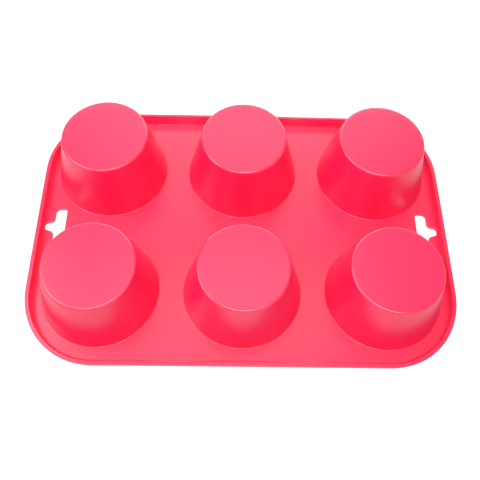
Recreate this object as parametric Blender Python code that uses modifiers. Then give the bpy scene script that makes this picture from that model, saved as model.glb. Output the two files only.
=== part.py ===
"""Flexible silicone muffin mould, lying mouth down with the closed ends of its cups on top.

Metres, +Z up, +X along the long side, +Y to the back. The origin is on the floor, under the middle
of the deck. The real mould is one casting: the objects here are its natural regions (the deck, the
two ends of the deck that hold the hanging slots, the lip and the cups), a hair's width apart.
"""

import math

import bmesh
import bpy
from mathutils import Matrix, Vector

# Driving dimensions
SKIN = 0.002  # thickness of the deck and of the cup walls
GAP = 0.0003  # between neighbouring regions
MOULD_HEIGHT = 0.0395  # from the floor to the closed ends of the cups

CUP_PITCH_X = 0.085
CUP_PITCH_Y = 0.086
FOOT_RADIUS = 0.035  # outside of a cup where it meets the deck
BASE_RADIUS = 0.026  # outside of a cup at its closed end
COLLAR_RADIUS = 0.0368  # ring of flat deck that belongs to the cup
FOOT_FILLET = 0.0012
BASE_EDGE_RADIUS = 0.0015
INNER_EDGE_RADIUS = 0.0005

LIP_MARGIN = 0.0065  # from the cups' feet to the inside of the lip
LIP_HEIGHT = 0.00575  # above the deck
LIP_THICKNESS = 0.002
LIP_ROOT = 0.0005  # deck that belongs to the rim
LIP_EDGE_RADIUS = 0.0006
LIP_HEEL_RADIUS = 0.0012  # rounded outer edge at the floor
SHORT_SIDE_LEAN = math.radians(2)  # outward lean of both lip faces on the short sides
LONG_SIDE_INNER_LEAN = math.radians(25)
LONG_SIDE_OUTER_LEAN = math.radians(11)

TAB_START = 0.104  # from the middle of the deck to the start of a hanging tab
TAB_HALF_WIDTH = 0.024
SLOT_INNER_X = 0.112
SLOT_OUTER_X = 0.119
SLOT_HALF_LENGTH = 0.0126
SLOT_INNER_RADIUS = 0.0018
SLOT_OUTER_RADIUS = 0.0028
NOTCH_TIP_X = 0.1248  # round notch in the slot's outer side, for a hook
NOTCH_ROOT_Y = 0.0038
NOTCH_TIP_Y = 0.0022
NOTCH_ROOT_RADIUS = 0.0024
NOTCH_TIP_RADIUS = 0.0024

ROUND_STEPS = 48
QUARTER_STEPS = ROUND_STEPS // 4
EDGE_STEPS = 2
SLOT_STEPS = 4

SILICONE_RED = (0.86, 0.022, 0.075, 1.0)
SILICONE_ROUGHNESS = 0.38

COLUMNS = {"left": -CUP_PITCH_X, "centre": 0.0, "right": CUP_PITCH_X}
ROWS = {"back": CUP_PITCH_Y / 2, "front": -CUP_PITCH_Y / 2}


def clear_scene():
    for obj in list(bpy.data.objects):
        bpy.data.objects.remove(obj, do_unlink=True)


def new_collection(name):
    collection = bpy.data.collections.new(name)
    bpy.context.scene.collection.children.link(collection)
    return collection


def silicone(name):
    material = bpy.data.materials.new(name + "_silicone")
    material.use_nodes = True
    shader = material.node_tree.nodes["Principled BSDF"]
    shader.inputs["Base Color"].default_value = SILICONE_RED
    shader.inputs["Roughness"].default_value = SILICONE_ROUGHNESS
    shader.inputs["Metallic"].default_value = 0.0
    return material


def add_part(name, mesh, location=(0.0, 0.0, 0.0)):
    """A region of the mould, under the mould's own empty."""
    obj = bpy.data.objects.new(name, mesh)
    obj.location = location
    obj.parent = mould
    parts.objects.link(obj)
    mesh.materials.append(silicone(name))
    return obj


def smooth(mesh):
    mesh.shade_smooth()
    mesh.set_sharp_from_angle(angle=math.radians(30))


def rounded(corners, steps):
    """Points of a polyline whose corners, each (x, y, radius), are replaced by arcs.

    A corner of radius 0 stays sharp. The line is taken as closed, so the ends of an open line are sharp.
    """
    points = []
    for i, (x, y, radius) in enumerate(corners):
        corner = Vector((x, y))
        if radius == 0:
            points.append(corner)
            continue
        before = (Vector(corners[i - 1][:2]) - corner).normalized()
        after = (Vector(corners[(i + 1) % len(corners)][:2]) - corner).normalized()
        half = before.angle(after) / 2
        centre = corner + (before + after).normalized() * radius / math.sin(half)
        start = corner + before * radius / math.tan(half) - centre
        end = corner + after * radius / math.tan(half) - centre
        sweep = math.pi - 2 * half
        for step in range(steps + 1):
            turn = sweep * step / steps
            arm = (start * math.sin(sweep - turn) + end * math.sin(turn)) / math.sin(sweep)
            points.append(centre + arm)
    return points


def circle(x, y, radius):
    turns = [2 * math.pi * step / ROUND_STEPS for step in range(ROUND_STEPS)]
    return [Vector((x + radius * math.cos(turn), y + radius * math.sin(turn))) for turn in turns]


def rim_stations():
    """(centre, direction) at each step round the lip. Its corners are centred on the corner cups."""
    stations = []
    for quarter, (side_x, side_y) in enumerate(((1, 1), (-1, 1), (-1, -1), (1, -1))):
        centre = Vector((side_x * CUP_PITCH_X, side_y * CUP_PITCH_Y / 2))
        for step in range(QUARTER_STEPS + 1):
            turn = math.pi / 2 * (quarter + step / QUARTER_STEPS)
            stations.append((centre, Vector((math.cos(turn), math.sin(turn)))))
    return stations


def deck_outline():
    radius = FOOT_RADIUS + LIP_MARGIN - LIP_ROOT - GAP
    return [centre + direction * radius for centre, direction in rim_stations()]


def slot_outline(side):
    """Hanging slot of the right (side 1) or the left (side -1) tab."""
    upper = [
        (side * SLOT_INNER_X, SLOT_HALF_LENGTH, SLOT_INNER_RADIUS),
        (side * SLOT_OUTER_X, SLOT_HALF_LENGTH, SLOT_OUTER_RADIUS),
        (side * SLOT_OUTER_X, NOTCH_ROOT_Y, NOTCH_ROOT_RADIUS),
        (side * NOTCH_TIP_X, NOTCH_TIP_Y, NOTCH_TIP_RADIUS),
    ]
    lower = [(x, -y, radius) for x, y, radius in reversed(upper)]
    return rounded(upper + lower, SLOT_STEPS)


def flat_plate(outlines):
    """A mesh of the deck's thickness: the first outline, less the others."""
    curve = bpy.data.curves.new("plate_outline", "CURVE")
    curve.dimensions = "2D"
    curve.fill_mode = "BOTH"
    curve.extrude = SKIN / 2
    for outline in outlines:
        spline = curve.splines.new("POLY")
        spline.points.add(len(outline) - 1)
        spline.use_cyclic_u = True
        for point, (x, y) in zip(spline.points, outline):
            point.co = (x, y, 0.0, 1.0)
    guide = bpy.data.objects.new("plate_outline", curve)
    guide.location.z = SKIN / 2
    parts.objects.link(guide)
    bpy.context.view_layer.update()
    mesh = bpy.data.meshes.new_from_object(guide.evaluated_get(bpy.context.evaluated_depsgraph_get()))
    mesh.transform(guide.matrix_world)
    bpy.data.objects.remove(guide)
    shape = bmesh.new()
    shape.from_mesh(mesh)
    bmesh.ops.remove_doubles(shape, verts=shape.verts, dist=1e-6)
    bmesh.ops.recalc_face_normals(shape, faces=shape.faces)
    shape.to_mesh(mesh)
    shape.free()
    smooth(mesh)
    return mesh


def tab_cutter(name, side, clearance):
    """Box round the end of the deck on one side, larger by the clearance on the sides that cut."""
    inner_x = TAB_START - clearance
    outer_x = CUP_PITCH_X + FOOT_RADIUS + 2 * LIP_MARGIN
    width = 2 * (TAB_HALF_WIDTH + clearance)
    size = Matrix.Diagonal((outer_x - inner_x, width, 5 * SKIN, 1.0))
    centre = Matrix.Translation((side * (inner_x + outer_x) / 2, 0.0, SKIN / 2))
    mesh = bpy.data.meshes.new(name)
    shape = bmesh.new()
    bmesh.ops.create_cube(shape, size=1.0, matrix=centre @ size)
    shape.to_mesh(mesh)
    shape.free()
    cutter = bpy.data.objects.new(name, mesh)
    cutter.hide_render = True
    cutter.display_type = "WIRE"
    cutters.objects.link(cutter)
    return cutter


def add_boolean(obj, operation, cutter):
    boolean = obj.modifiers.new(cutter.name, "BOOLEAN")
    boolean.operation = operation
    boolean.solver = "EXACT"
    boolean.object = cutter


def add_deck():
    """Flat web between the cups, and the tabs at its ends."""
    mouths = [circle(x, y, COLLAR_RADIUS + GAP) for x in COLUMNS.values() for y in ROWS.values()]
    slots = [slot_outline(1), slot_outline(-1)]
    plate = flat_plate([deck_outline()] + mouths + slots)
    deck = add_part("deck", plate.copy())
    for side_name, side in (("left", -1), ("right", 1)):
        add_boolean(deck, "DIFFERENCE", tab_cutter(f"deck_end_{side_name}", side, GAP))
        tab = add_part(f"hang_tab_{side_name}", plate.copy())
        add_boolean(tab, "INTERSECT", tab_cutter(f"tab_end_{side_name}", side, 0.0))
    bpy.data.meshes.remove(plate)


def lip_section(direction):
    """Section of the rim as (outward from the inside of the lip, up) where the rim faces a direction.

    The lip stands nearly upright on the short sides and leans outward on the long ones.
    """
    along = direction.y**2
    inner = math.tan(SHORT_SIDE_LEAN + (LONG_SIDE_INNER_LEAN - SHORT_SIDE_LEAN) * along)
    outer = math.tan(SHORT_SIDE_LEAN + (LONG_SIDE_OUTER_LEAN - SHORT_SIDE_LEAN) * along)
    top = SKIN + LIP_HEIGHT
    inner_top = LIP_HEIGHT * inner
    outer_top = inner_top + LIP_THICKNESS
    corners = [
        (-LIP_ROOT, 0.0, 0.0),
        (-LIP_ROOT, SKIN, 0.0),
        (0.0, SKIN, LIP_ROOT / 2),
        (inner_top, top, LIP_EDGE_RADIUS),
        (outer_top, top, LIP_EDGE_RADIUS),
        (outer_top - top * outer, 0.0, LIP_HEEL_RADIUS),
    ]
    return rounded(corners, EDGE_STEPS)


def add_rim():
    """Closed loft of the lip's section round the deck, because its lean changes on the way."""
    shape = bmesh.new()
    rings = []
    for centre, direction in rim_stations():
        ring = []
        for outward, up in lip_section(direction):
            place = centre + direction * (FOOT_RADIUS + LIP_MARGIN + outward)
            ring.append(shape.verts.new((place.x, place.y, up)))
        rings.append(ring)
    for ring, following in zip(rings, rings[1:] + rings[:1]):
        for i in range(len(ring)):
            shape.faces.new((ring[i - 1], ring[i], following[i], following[i - 1]))
    bmesh.ops.recalc_face_normals(shape, faces=shape.faces)
    mesh = bpy.data.meshes.new("rim")
    shape.to_mesh(mesh)
    shape.free()
    smooth(mesh)
    add_part("rim", mesh)


def cup_profile():
    """Half section of a cup, down its outside and back up its inside, from axis to axis."""
    slope = (FOOT_RADIUS - BASE_RADIUS) / (MOULD_HEIGHT - SKIN)
    wall = SKIN * math.sqrt(1 + slope**2)  # the skin measured level
    mouth_radius = FOOT_RADIUS + SKIN * slope - wall
    floor_radius = BASE_RADIUS + SKIN * slope - wall
    corners = [
        (0.0, MOULD_HEIGHT, 0.0),
        (BASE_RADIUS, MOULD_HEIGHT, BASE_EDGE_RADIUS),
        (FOOT_RADIUS, SKIN, FOOT_FILLET),
        (COLLAR_RADIUS, SKIN, 0.0),
        (COLLAR_RADIUS, 0.0, 0.0),
        (mouth_radius, 0.0, FOOT_FILLET + SKIN),
        (floor_radius, MOULD_HEIGHT - SKIN, INNER_EDGE_RADIUS),
        (0.0, MOULD_HEIGHT - SKIN, 0.0),
    ]
    return rounded(corners, EDGE_STEPS)


def add_cup(name, x, y):
    profile = cup_profile()
    mesh = bpy.data.meshes.new(name)
    edges = [(i, i + 1) for i in range(len(profile) - 1)]
    mesh.from_pydata([(radius, 0.0, up) for radius, up in profile], edges, [])
    cup = add_part(name, mesh, (x, y, 0.0))
    screw = cup.modifiers.new("turn", "SCREW")
    screw.steps = ROUND_STEPS
    screw.render_steps = ROUND_STEPS
    screw.use_merge_vertices = True
    screw.merge_threshold = 0.00001
    screw.use_smooth_shade = True


def add_cups():
    for row, y in ROWS.items():
        for column, x in COLUMNS.items():
            add_cup(f"cup_{row}_{column}", x, y)


clear_scene()
parts = new_collection("muffin_mould")
cutters = new_collection("cutters")
mould = bpy.data.objects.new("muffin_mould", None)
parts.objects.link(mould)
add_deck()
add_rim()
add_cups()
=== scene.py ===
"""Looks of the silicone muffin mould: a fine skin for each CAD region, material, studio and camera.

Metres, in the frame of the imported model: +Z up, +X along the long side, the floor at z = 0.
Neighbouring pieces share the points of their seam, so that the moulding shows no joins. The soft
sheet is slightly crowned: every piece is built flat and then passed through settle().
"""

import math

import bmesh
import bpy
from mathutils import Matrix, Vector, noise


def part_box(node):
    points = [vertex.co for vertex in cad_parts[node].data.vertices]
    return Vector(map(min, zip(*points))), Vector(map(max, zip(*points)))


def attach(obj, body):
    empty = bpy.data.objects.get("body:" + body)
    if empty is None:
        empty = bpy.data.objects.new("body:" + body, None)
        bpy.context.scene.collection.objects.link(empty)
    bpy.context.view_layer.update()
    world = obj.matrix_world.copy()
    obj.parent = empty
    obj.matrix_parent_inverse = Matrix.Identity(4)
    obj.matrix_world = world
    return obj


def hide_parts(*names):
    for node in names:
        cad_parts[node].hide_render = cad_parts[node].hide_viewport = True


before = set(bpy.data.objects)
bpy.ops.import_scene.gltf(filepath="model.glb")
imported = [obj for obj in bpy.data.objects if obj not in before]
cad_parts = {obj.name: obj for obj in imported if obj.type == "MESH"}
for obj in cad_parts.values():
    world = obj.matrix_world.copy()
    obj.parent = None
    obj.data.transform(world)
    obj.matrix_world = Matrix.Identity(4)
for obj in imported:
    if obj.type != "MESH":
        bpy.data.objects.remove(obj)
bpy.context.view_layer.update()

# Sizes read from the frame
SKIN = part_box("deck")[1].z
LIP_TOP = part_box("rim")[1].z
CUP_LOW, CUP_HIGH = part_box("cup_back_right")
TAB_LOW, TAB_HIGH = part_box("hang_tab_right")
MOULD_HEIGHT = CUP_HIGH.z
PITCH_X = (CUP_LOW.x + CUP_HIGH.x) / 2
HALF_PITCH_Y = (CUP_LOW.y + CUP_HIGH.y) / 2
COLLAR_RADIUS = (CUP_HIGH.x - CUP_LOW.x) / 2

# The CAD regions stand a gap apart, and the pieces here meet in the middle of it
GAP = 0.0003
SEAM_RADIUS = COLLAR_RADIUS + GAP / 2
DECK_EDGE = TAB_HIGH.x - PITCH_X + GAP / 2  # from a cup's middle to the seam with the rim
TAB_SEAM_X = TAB_LOW.x - GAP / 2
TAB_SEAM_Y = TAB_HIGH.y + GAP / 2

# Details of the moulding
ROWS_SHIFT = 0.0013  # the cups and the slots lie this much nearer the back lip
BACK_TRIM = 0.0012  # and the back lip lies this much nearer them
FOOT_RADIUS = 0.035
BASE_RADIUS = 0.026
FOOT_FILLET = 0.0005
BASE_EDGE_RADIUS = 0.0015
INNER_EDGE_RADIUS = 0.0008
LIP_ROOT = 0.00065  # from the rim's seam to the inside of the lip
LIP_EDGE_RADIUS = 0.0003
LIP_ROOT_FILLET = 0.0002
LIP_HEEL_RADIUS = 0.0012
SLOT_INNER_X = 0.112
SLOT_OUTER_X = 0.119
SLOT_HALF_LENGTH = 0.0126
SLOT_INNER_RADIUS = 0.0018
SLOT_OUTER_RADIUS = 0.0028
SLOT_EDGE_RADIUS = 0.0004
NOTCH_TIP_X = 0.1248
NOTCH_ROOT_Y = 0.0038
NOTCH_TIP_Y = 0.0022
NOTCH_ROOT_RADIUS = 0.0024
NOTCH_TIP_RADIUS = 0.0024

# The lip, by the side that it stands on: outward lean of its inner face, outward lean of its outer
# face, and how far the outer edge of its top stands out from its root
SHORT_SIDE_LIP = (math.radians(-10), math.radians(-3), 0.00145)
BACK_LIP = (math.radians(25), math.radians(11), 0.0042)
FRONT_LIP = (math.radians(16), math.radians(11), 0.0042)

# How the soft sheet relaxes: a crown that falls by these times x and y squared, and a slow unevenness
CROWN_X = 0.052
CROWN_Y = 0.168
WAVE_HEIGHT = 0.00012
WAVE_LENGTH = 0.06

# How finely the meshes are divided
EIGHTH_STEPS = 18  # rays in an eighth of a turn round a cup
DECK_RINGS = 8  # rings of faces between a cup's collar and the end of its share of the deck
ARC_STEPS = 6
WALL_STEPS = 8
LONG_RUN = 3 * SKIN  # a straight run of a cup's section longer than this is cut into steps
SMOOTH_ANGLE = math.radians(35)
STATION_DIGITS = 6  # decimals to which two stations of the rim agree when they are one
WELD_DISTANCE = 1e-6
CUT_TOLERANCE = 1e-7

# Silicone: two reds that mottle the colour, and patterns with their scale in features per metre
DEEP_RED = (0.88, 0.0086, 0.073, 1.0)
PALE_RED = (0.88, 0.0104, 0.079, 1.0)
MOTTLE_SCALE = 28.0
GLOSS_SCALE = 45.0
GRAIN_SCALE = 1800.0
NOISE_LOW = 0.2  # the noise from here
NOISE_HIGH = 0.8  # to here takes a pattern from its least to its most
ROUGHNESS_LOW = 0.285
ROUGHNESS_HIGH = 0.33
SILICONE_IOR = 1.8
GRAIN_STRENGTH = 0.12
GRAIN_HEIGHT = 0.00008

# The studio: a cove, and light from all round
WHITE = (1.0, 1.0, 1.0, 1.0)
SURROUND_STRENGTH = 0.33
COVE_RADIUS = 3.0
COVE_BEND = 1.2
COVE_HEIGHT = 2.4
COVE_STEPS = 64
COVE_GREY = (0.25, 0.25, 0.25, 1.0)
COVE_ROUGHNESS = 0.9
FLOOR_GLOW = 0.5  # strength of the floor's own light on the mould
FLOOR_WHITE = 1.0  # and towards the viewer, so that the floor looks plain

# Soft lights that face the middle of the mould: name, place, width, height and power in watts
SOFTBOXES = [
    ("key", (0.00, -0.35, 0.80), 0.65, 0.22, 4.27),
    ("top", (0.00, -0.15, 0.86), 0.65, 0.15, 0.49),
    ("side", (-0.55, 0.00, 0.67), 0.50, 0.30, 3.3),
    ("back", (0.00, 0.23, 0.84), 0.50, 0.15, 0.47),
    ("far_back", (0.00, 0.52, 0.69), 0.50, 0.15, 0.28),
    ("low_back", (0.00, 0.75, 0.42), 1.00, 0.12, 4.15),
]

# The camera
CAMERA_PLACE = (-0.0097, -0.1817, 0.3389)  # from the middle of the deck's upper face
CAMERA_YAW = math.radians(2.73)
CAMERA_PITCH = math.radians(62.70)
CAMERA_ROLL = math.radians(3.29)
CAMERA_SENSOR = 36.0
CAMERA_LENS = 45.49

COLUMNS = {"left": -1, "centre": 0, "right": 1}
ROWS = {"back": 1, "front": -1}


def rounded(corners):
    """Points of a line through corners (x, y, radius), each rounded by its radius; 0 stays sharp.

    The line is closed, or open with sharp ends.
    """
    points = []
    for i, (x, y, radius) in enumerate(corners):
        corner = Vector((x, y))
        if radius == 0:
            points.append(corner)
            continue
        before = (Vector(corners[i - 1][:2]) - corner).normalized()
        after = (Vector(corners[(i + 1) % len(corners)][:2]) - corner).normalized()
        half = before.angle(after) / 2
        centre = corner + (before + after).normalized() * radius / math.sin(half)
        start = corner + before * radius / math.tan(half) - centre
        end = corner + after * radius / math.tan(half) - centre
        sweep = math.pi - 2 * half
        for step in range(ARC_STEPS + 1):
            turn = sweep * step / ARC_STEPS
            arm = (start * math.sin(sweep - turn) + end * math.sin(turn)) / math.sin(sweep)
            points.append(centre + arm)
    return points


# The grid that the deck, the cups and the rim share: rays from the middle of each cup to the end of
# its share of the deck, which is a neighbour's share or the seam with the rim.


def cup_centre(column, row):
    return Vector((COLUMNS[column] * PITCH_X, ROWS[row] * HALF_PITCH_Y + ROWS_SHIFT))


def arc_end(centre, direction, anchor):
    """Length and outward normal of a ray that ends on a corner of the rim's seam."""
    offset = centre - anchor
    ahead = -offset.dot(direction)
    length = ahead + math.sqrt(ahead**2 - offset.length_squared + DECK_EDGE**2)
    return length, (offset + direction * length) / DECK_EDGE


def quarter_rays(column, row, side_x, side_y):
    """Rays of a quarter turn from the x side to the y side, one to the corner of the cup's share.

    A ray is (direction, length, outward normal of the rim's seam where it ends, or None).
    """
    centre = cup_centre(column, row)
    anchor = Vector((side_x * PITCH_X, side_y * HALF_PITCH_Y - (BACK_TRIM if side_y > 0 else 0.0)))
    outer_x = COLUMNS[column] == side_x
    outer_y = ROWS[row] == side_y
    limit_x = DECK_EDGE if outer_x else PITCH_X / 2
    limit_y = DECK_EDGE + side_y * (anchor.y - centre.y) if outer_y else HALF_PITCH_Y
    corner = math.atan2(limit_y, limit_x)
    found = []
    for step in range(2 * EIGHTH_STEPS + 1):
        near = step < EIGHTH_STEPS
        turn = corner * step / EIGHTH_STEPS
        if not near:
            turn = corner + (math.pi / 2 - corner) * (step / EIGHTH_STEPS - 1)
        direction = Vector((side_x * math.cos(turn), side_y * math.sin(turn)))
        length = limit_x / math.cos(turn) if near else limit_y / math.sin(turn)
        normal = None
        if outer_y and not near:
            normal = Vector((0.0, side_y))
        if outer_x and (near or step == EIGHTH_STEPS):
            normal = Vector((side_x, 0.0))
        past = centre + direction * length - anchor
        if outer_x and outer_y and past.x * side_x > 0 and past.y * side_y > 0:
            length, normal = arc_end(centre, direction, anchor)
        found.append((direction, length, normal))
    return found


def rays(column, row):
    """All rays of a cup, anticlockwise."""
    found = []
    for side_x, side_y in ((1, 1), (-1, 1), (-1, -1), (1, -1)):
        quarter = quarter_rays(column, row, side_x, side_y)
        if side_x * side_y < 0:
            quarter.reverse()
        found += quarter[:-1]
    return found


def rim_stations():
    """(point on the rim's seam, outward normal), anticlockwise."""
    stations = {}
    for column in COLUMNS:
        for row in ROWS:
            for direction, length, normal in rays(column, row):
                if normal:
                    point = cup_centre(column, row) + direction * length
                    key = (round(point.x, STATION_DIGITS), round(point.y, STATION_DIGITS))
                    stations[key] = (point, normal)
    return sorted(stations.values(), key=lambda station: math.atan2(station[0].y, station[0].x))


# Sections


def cup_profile():
    """Half section of a cup: from the axis down its outside, round the seam and up its inside."""
    slope = (FOOT_RADIUS - BASE_RADIUS) / (MOULD_HEIGHT - SKIN)
    wall = SKIN * math.sqrt(1 + slope**2)
    mouth_radius = FOOT_RADIUS + SKIN * slope - wall
    floor_radius = BASE_RADIUS + SKIN * slope - wall
    corners = [
        (0.0, MOULD_HEIGHT, 0.0),
        (BASE_RADIUS, MOULD_HEIGHT, BASE_EDGE_RADIUS),
        (FOOT_RADIUS, SKIN, FOOT_FILLET),
        (SEAM_RADIUS, SKIN, 0.0),
        (SEAM_RADIUS, 0.0, 0.0),
        (mouth_radius, 0.0, FOOT_FILLET + SKIN),
        (floor_radius, MOULD_HEIGHT - SKIN, INNER_EDGE_RADIUS),
        (0.0, MOULD_HEIGHT - SKIN, 0.0),
    ]
    return divided(rounded(corners))


def divided(profile):
    """The profile with its long straight runs cut into steps, except along the seam."""
    points = [profile[0]]
    for before, after in zip(profile, profile[1:]):
        run = (after - before).length
        steps = WALL_STEPS if run > LONG_RUN else 1
        points += [before.lerp(after, step / steps) for step in range(1, steps + 1)]
    return points


def lip_section(normal):
    """Closed section of the rim as (outward from its seam, up) where it faces along normal.

    The lip is nearly upright on the short sides and leans outward on the long ones.
    """
    long_side = BACK_LIP if normal.y > 0 else FRONT_LIP
    share = normal.y**2
    inner, outer, reach = (a + (b - a) * share for a, b in zip(SHORT_SIDE_LIP, long_side))
    inner_top = LIP_ROOT + (LIP_TOP - SKIN) * math.tan(inner)
    outer_top = LIP_ROOT + reach
    corners = [
        (0.0, 0.0, 0.0),
        (0.0, SKIN, 0.0),
        (LIP_ROOT, SKIN, LIP_ROOT_FILLET),
        (inner_top, LIP_TOP, LIP_EDGE_RADIUS),
        (outer_top, LIP_TOP, LIP_EDGE_RADIUS),
        (outer_top - LIP_TOP * math.tan(outer), 0.0, LIP_HEEL_RADIUS),
    ]
    return rounded(corners)


def slot_outline(side, growth):
    """Hanging slot of the right (side 1) or left (side -1) tab, grown outward."""
    inner_x = SLOT_INNER_X - growth
    outer_x = SLOT_OUTER_X + growth
    end_y = SLOT_HALF_LENGTH + growth
    upper = [
        (inner_x, end_y, SLOT_INNER_RADIUS + growth),
        (outer_x, end_y, SLOT_OUTER_RADIUS + growth),
        (outer_x, NOTCH_ROOT_Y + growth, NOTCH_ROOT_RADIUS - growth),
        (NOTCH_TIP_X + growth, NOTCH_TIP_Y + growth, NOTCH_TIP_RADIUS + growth),
    ]
    lower = [(x, -y, radius) for x, y, radius in reversed(upper)]
    return rounded([(side * x, y + ROWS_SHIFT, radius) for x, y, radius in upper + lower])


# Relaxed shape


def sag(x, y):
    """How far the relaxed sheet hangs below its middle: the crown, with a faint wave across it."""
    wave = WAVE_HEIGHT * noise.noise(Vector((x, y, 0.0)) / WAVE_LENGTH)
    return CROWN_X * x**2 + CROWN_Y * (y - ROWS_SHIFT) ** 2 - wave


def rest_lift():
    """How far the middle of the deck stands off the floor when the rim's lowest edge lies on it."""
    lowest = 0.0
    for point, normal in rim_stations():
        for outward, up in lip_section(normal):
            place = point + normal * outward
            lowest = max(lowest, sag(place.x, place.y) - up)
    return lowest


def settle(point, lift):
    """Where a point of the flat moulding lies once the soft sheet has relaxed into its crown."""
    rise = lift - sag(point.x, point.y)
    lean = Vector((2 * CROWN_X * point.x, 2 * CROWN_Y * (point.y - ROWS_SHIFT), 0.0)) * point.z
    return point + lean + Vector((0.0, 0.0, rise))


# Pieces


def loft(shape, rings, closed):
    """Faces between rings of points, each a closed loop; a ring of one point is a pole.

    closed also joins the last ring to the first.
    """
    made = [[shape.verts.new(point) for point in ring] for ring in rings]
    pairs = list(zip(made, made[1:]))
    if closed:
        pairs.append((made[-1], made[0]))
    for ring, following in pairs:
        for i in range(max(len(ring), len(following))):
            corners = (ring[(i - 1) % len(ring)], ring[i % len(ring)])
            corners += (following[i % len(following)], following[(i - 1) % len(following)])
            shape.faces.new(dict.fromkeys(corners))


def mesh_of(name, shape):
    bmesh.ops.recalc_face_normals(shape, faces=shape.faces)
    mesh = bpy.data.meshes.new(name)
    shape.to_mesh(mesh)
    shape.free()
    return mesh


def add_object(name, mesh):
    obj = bpy.data.objects.new(name, mesh)
    bpy.context.scene.collection.objects.link(obj)
    return obj


def evaluated_mesh(obj):
    bpy.context.view_layer.update()
    return bpy.data.meshes.new_from_object(obj.evaluated_get(bpy.context.evaluated_depsgraph_get()))


def finish_piece(node, mesh, lift, material):
    """Relaxes the mesh and puts it in the place of its CAD node."""
    for vertex in mesh.vertices:
        vertex.co = settle(vertex.co, lift)
    mesh.materials.append(material)
    mesh.shade_smooth()
    mesh.set_sharp_from_angle(angle=SMOOTH_ANGLE)
    piece = add_object(f"{node}_skin", mesh)
    weighted = piece.modifiers.new("even_normals", "WEIGHTED_NORMAL")
    weighted.keep_sharp = True
    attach(piece, "root")
    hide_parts(node)


def cup_mesh(column, row):
    centre = cup_centre(column, row)
    directions = [direction for direction, _, _ in rays(column, row)]
    rings = []
    for radius, up in cup_profile():
        spread = directions if radius > 0 else [Vector((0.0, 0.0))]
        places = [centre + direction * radius for direction in spread]
        rings.append([(place.x, place.y, up) for place in places])
    shape = bmesh.new()
    loft(shape, rings, closed=False)
    return mesh_of(f"cup_{row}_{column}", shape)


def rim_mesh():
    rings = []
    for point, normal in rim_stations():
        places = [(point + normal * outward, up) for outward, up in lip_section(normal)]
        rings.append([(place.x, place.y, up) for place, up in places])
    shape = bmesh.new()
    loft(shape, rings, closed=True)
    return mesh_of("rim", shape)


def deck_sheet():
    """The upper face of the deck and its tabs, as one layer of faces."""
    shape = bmesh.new()
    for column in COLUMNS:
        for row in ROWS:
            centre = cup_centre(column, row)
            spokes = []
            for direction, length, _ in rays(column, row):
                steps = [
                    SEAM_RADIUS + (length - SEAM_RADIUS) * ring / DECK_RINGS
                    for ring in range(DECK_RINGS + 1)
                ]
                places = [centre + direction * step for step in steps]
                spokes.append([shape.verts.new((place.x, place.y, SKIN)) for place in places])
            for spoke, following in zip(spokes, spokes[1:] + spokes[:1]):
                for i in range(DECK_RINGS):
                    shape.faces.new((spoke[i], spoke[i + 1], following[i + 1], following[i]))
    bmesh.ops.remove_doubles(shape, verts=shape.verts, dist=WELD_DISTANCE)
    for side in (-1, 1):
        cuts = [
            (Vector((side * TAB_SEAM_X, 0.0, 0.0)), Vector((1.0, 0.0, 0.0))),
            (Vector((0.0, side * TAB_SEAM_Y, 0.0)), Vector((0.0, 1.0, 0.0))),
        ]
        for place, normal in cuts:
            everything = shape.verts[:] + shape.edges[:] + shape.faces[:]
            bmesh.ops.bisect_plane(
                shape, geom=everything, plane_co=place, plane_no=normal, dist=CUT_TOLERANCE
            )
    return shape


def in_tab(face, side):
    middle = face.calc_center_median()
    return side * middle.x > TAB_SEAM_X and abs(middle.y) < TAB_SEAM_Y


def thickened(name, sheet, keep):
    """A closed plate from the faces of the sheet that keep() picks."""
    part = sheet.copy()
    bmesh.ops.delete(part, geom=[face for face in part.faces if not keep(face)], context="FACES")
    plate = add_object(name, mesh_of(name, part))
    solidify = plate.modifiers.new("skin", "SOLIDIFY")
    solidify.thickness = SKIN
    solidify.offset = -1.0
    return plate


def slot_cutter(side):
    """The slot's prism, flared at both faces of the tab so that the cut leaves rounded edges."""
    rings = []
    flare = []
    for step in range(ARC_STEPS + 1):
        turn = math.pi / 2 * step / ARC_STEPS
        flare.append((SLOT_EDGE_RADIUS * (1 - math.cos(turn)), SLOT_EDGE_RADIUS * (1 - math.sin(turn))))
    levels = [(-SKIN, SLOT_EDGE_RADIUS)]
    levels += [(depth, growth) for growth, depth in reversed(flare)]
    levels += [(SKIN - depth, growth) for growth, depth in flare]
    levels.append((2 * SKIN, SLOT_EDGE_RADIUS))
    for up, growth in levels:
        rings.append([(x, y, up) for x, y in slot_outline(side, growth)])
    shape = bmesh.new()
    loft(shape, rings, closed=False)
    bmesh.ops.holes_fill(shape, edges=[edge for edge in shape.edges if edge.is_boundary])
    return add_object("slot_cutter", mesh_of("slot_cutter", shape))


def tab_mesh(sheet, side):
    plate = thickened("tab_plate", sheet, lambda face: in_tab(face, side))
    cutter = slot_cutter(side)
    cut = plate.modifiers.new("slot", "BOOLEAN")
    cut.operation = "DIFFERENCE"
    cut.solver = "EXACT"
    cut.object = cutter
    mesh = evaluated_mesh(plate)
    bpy.data.objects.remove(plate)
    bpy.data.objects.remove(cutter)
    return mesh


def deck_mesh(sheet):
    plate = thickened("deck_plate", sheet, lambda face: not (in_tab(face, -1) or in_tab(face, 1)))
    mesh = evaluated_mesh(plate)
    bpy.data.objects.remove(plate)
    return mesh


# Material


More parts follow.
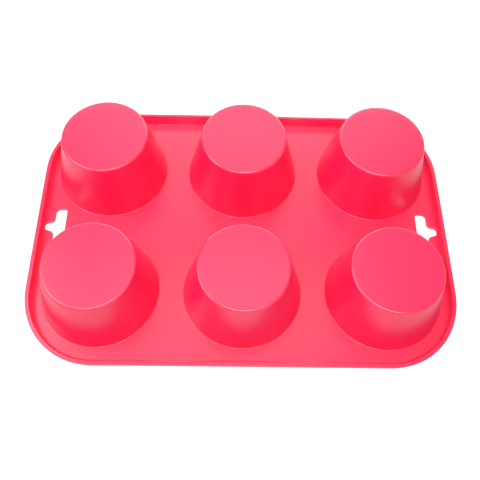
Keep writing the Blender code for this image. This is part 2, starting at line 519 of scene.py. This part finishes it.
def silicone():
    """Satin red silicone: a faint mottle in the colour, uneven gloss and a fine moulded grain."""
    material = bpy.data.materials.new("red_silicone")
    material.use_nodes = True
    nodes = material.node_tree.nodes
    links = material.node_tree.links
    shader = nodes["Principled BSDF"]
    place = nodes.new("ShaderNodeTexCoord")

    def pattern(scale, detail):
        texture = nodes.new("ShaderNodeTexNoise")
        texture.inputs["Scale"].default_value = scale
        texture.inputs["Detail"].default_value = detail
        links.new(place.outputs["Object"], texture.inputs["Vector"])
        return texture.outputs["Fac"]

    def spread(value, low, high):
        ramp = nodes.new("ShaderNodeMapRange")
        ramp.inputs["From Min"].default_value = NOISE_LOW
        ramp.inputs["From Max"].default_value = NOISE_HIGH
        ramp.inputs["To Min"].default_value = low
        ramp.inputs["To Max"].default_value = high
        links.new(value, ramp.inputs["Value"])
        return ramp.outputs["Result"]

    colour = nodes.new("ShaderNodeMix")
    colour.data_type = "RGBA"
    colour.inputs["A"].default_value = DEEP_RED
    colour.inputs["B"].default_value = PALE_RED
    mottle = spread(pattern(MOTTLE_SCALE, 3.0), 0.0, 1.0)
    links.new(mottle, colour.inputs["Factor"])
    links.new(colour.outputs["Result"], shader.inputs["Base Color"])
    gloss = spread(pattern(GLOSS_SCALE, 4.0), ROUGHNESS_LOW, ROUGHNESS_HIGH)
    links.new(gloss, shader.inputs["Roughness"])
    shader.inputs["IOR"].default_value = SILICONE_IOR
    grain = nodes.new("ShaderNodeBump")
    grain.inputs["Strength"].default_value = GRAIN_STRENGTH
    grain.inputs["Distance"].default_value = GRAIN_HEIGHT
    links.new(pattern(GRAIN_SCALE, 2.0), grain.inputs["Height"])
    links.new(grain.outputs["Normal"], shader.inputs["Normal"])
    return material


# Studio


def add_floor():
    """A pale floor that turns up into a wall all round, so that every view is plain behind."""
    material = bpy.data.materials.new("studio_floor")
    material.use_nodes = True
    nodes = material.node_tree.nodes
    links = material.node_tree.links
    shader = nodes["Principled BSDF"]
    shader.inputs["Base Color"].default_value = COVE_GREY
    shader.inputs["Roughness"].default_value = COVE_ROUGHNESS
    shader.inputs["Specular IOR Level"].default_value = 0.0
    shader.inputs["Emission Color"].default_value = WHITE
    path = nodes.new("ShaderNodeLightPath")
    glow = nodes.new("ShaderNodeMapRange")
    glow.inputs["To Min"].default_value = FLOOR_GLOW
    glow.inputs["To Max"].default_value = FLOOR_WHITE
    links.new(path.outputs["Is Camera Ray"], glow.inputs["Value"])
    links.new(glow.outputs["Result"], shader.inputs["Emission Strength"])
    corners = [(0.0, 0.0, 0.0), (COVE_RADIUS, 0.0, COVE_BEND), (COVE_RADIUS, COVE_HEIGHT, 0.0)]
    turns = [2 * math.pi * step / COVE_STEPS for step in range(COVE_STEPS)]
    rings = [[(0.0, 0.0, 0.0)]]
    for out, up in rounded(corners)[1:]:
        rings.append([(out * math.cos(turn), out * math.sin(turn), up) for turn in turns])
    shape = bmesh.new()
    loft(shape, rings, closed=False)
    floor = add_object("floor", mesh_of("floor", shape))
    floor.data.materials.append(material)


def add_softbox(name, place, width, height, power):
    """A soft light that faces the middle of the mould."""
    middle = Vector((0.0, 0.0, MOULD_HEIGHT / 2))
    light = bpy.data.lights.new(name, "AREA")
    light.shape = "RECTANGLE"
    light.size = width
    light.size_y = height
    light.energy = power
    box = bpy.data.objects.new(name, light)
    box.location = place
    box.rotation_euler = (middle - Vector(place)).to_track_quat("-Z", "Y").to_euler()
    bpy.context.scene.collection.objects.link(box)


def add_lights():
    world = bpy.data.worlds.new("studio")
    world.use_nodes = True
    surround = world.node_tree.nodes["Background"]
    surround.inputs["Color"].default_value = WHITE
    surround.inputs["Strength"].default_value = SURROUND_STRENGTH
    bpy.context.scene.world = world
    for softbox in SOFTBOXES:
        add_softbox(*softbox)


def add_camera(lift):
    """The camera looks down on the mould from the front, a little turned and rolled."""
    camera = bpy.data.cameras.new("camera")
    camera.sensor_width = CAMERA_SENSOR
    camera.lens = CAMERA_LENS
    obj = bpy.data.objects.new("camera", camera)
    turn = Matrix.Rotation(-CAMERA_YAW, 4, "Z") @ Matrix.Rotation(math.pi / 2 - CAMERA_PITCH, 4, "X")
    x, y, z = CAMERA_PLACE
    place = Matrix.Translation((x, y, z + SKIN + lift))
    obj.matrix_world = place @ turn @ Matrix.Rotation(CAMERA_ROLL, 4, "Z")
    bpy.context.scene.collection.objects.link(obj)
    bpy.context.scene.camera = obj


def build():
    lift = rest_lift()
    material = silicone()
    sheet = deck_sheet()
    finish_piece("deck", deck_mesh(sheet), lift, material)
    finish_piece("hang_tab_left", tab_mesh(sheet, -1), lift, material)
    finish_piece("hang_tab_right", tab_mesh(sheet, 1), lift, material)
    sheet.free()
    finish_piece("rim", rim_mesh(), lift, material)
    for row in ROWS:
        for column in COLUMNS:
            finish_piece(f"cup_{row}_{column}", cup_mesh(column, row), lift, material)
    add_floor()
    add_lights()
    add_camera(lift)
    bpy.context.scene.view_settings.view_transform = "Standard"


build()
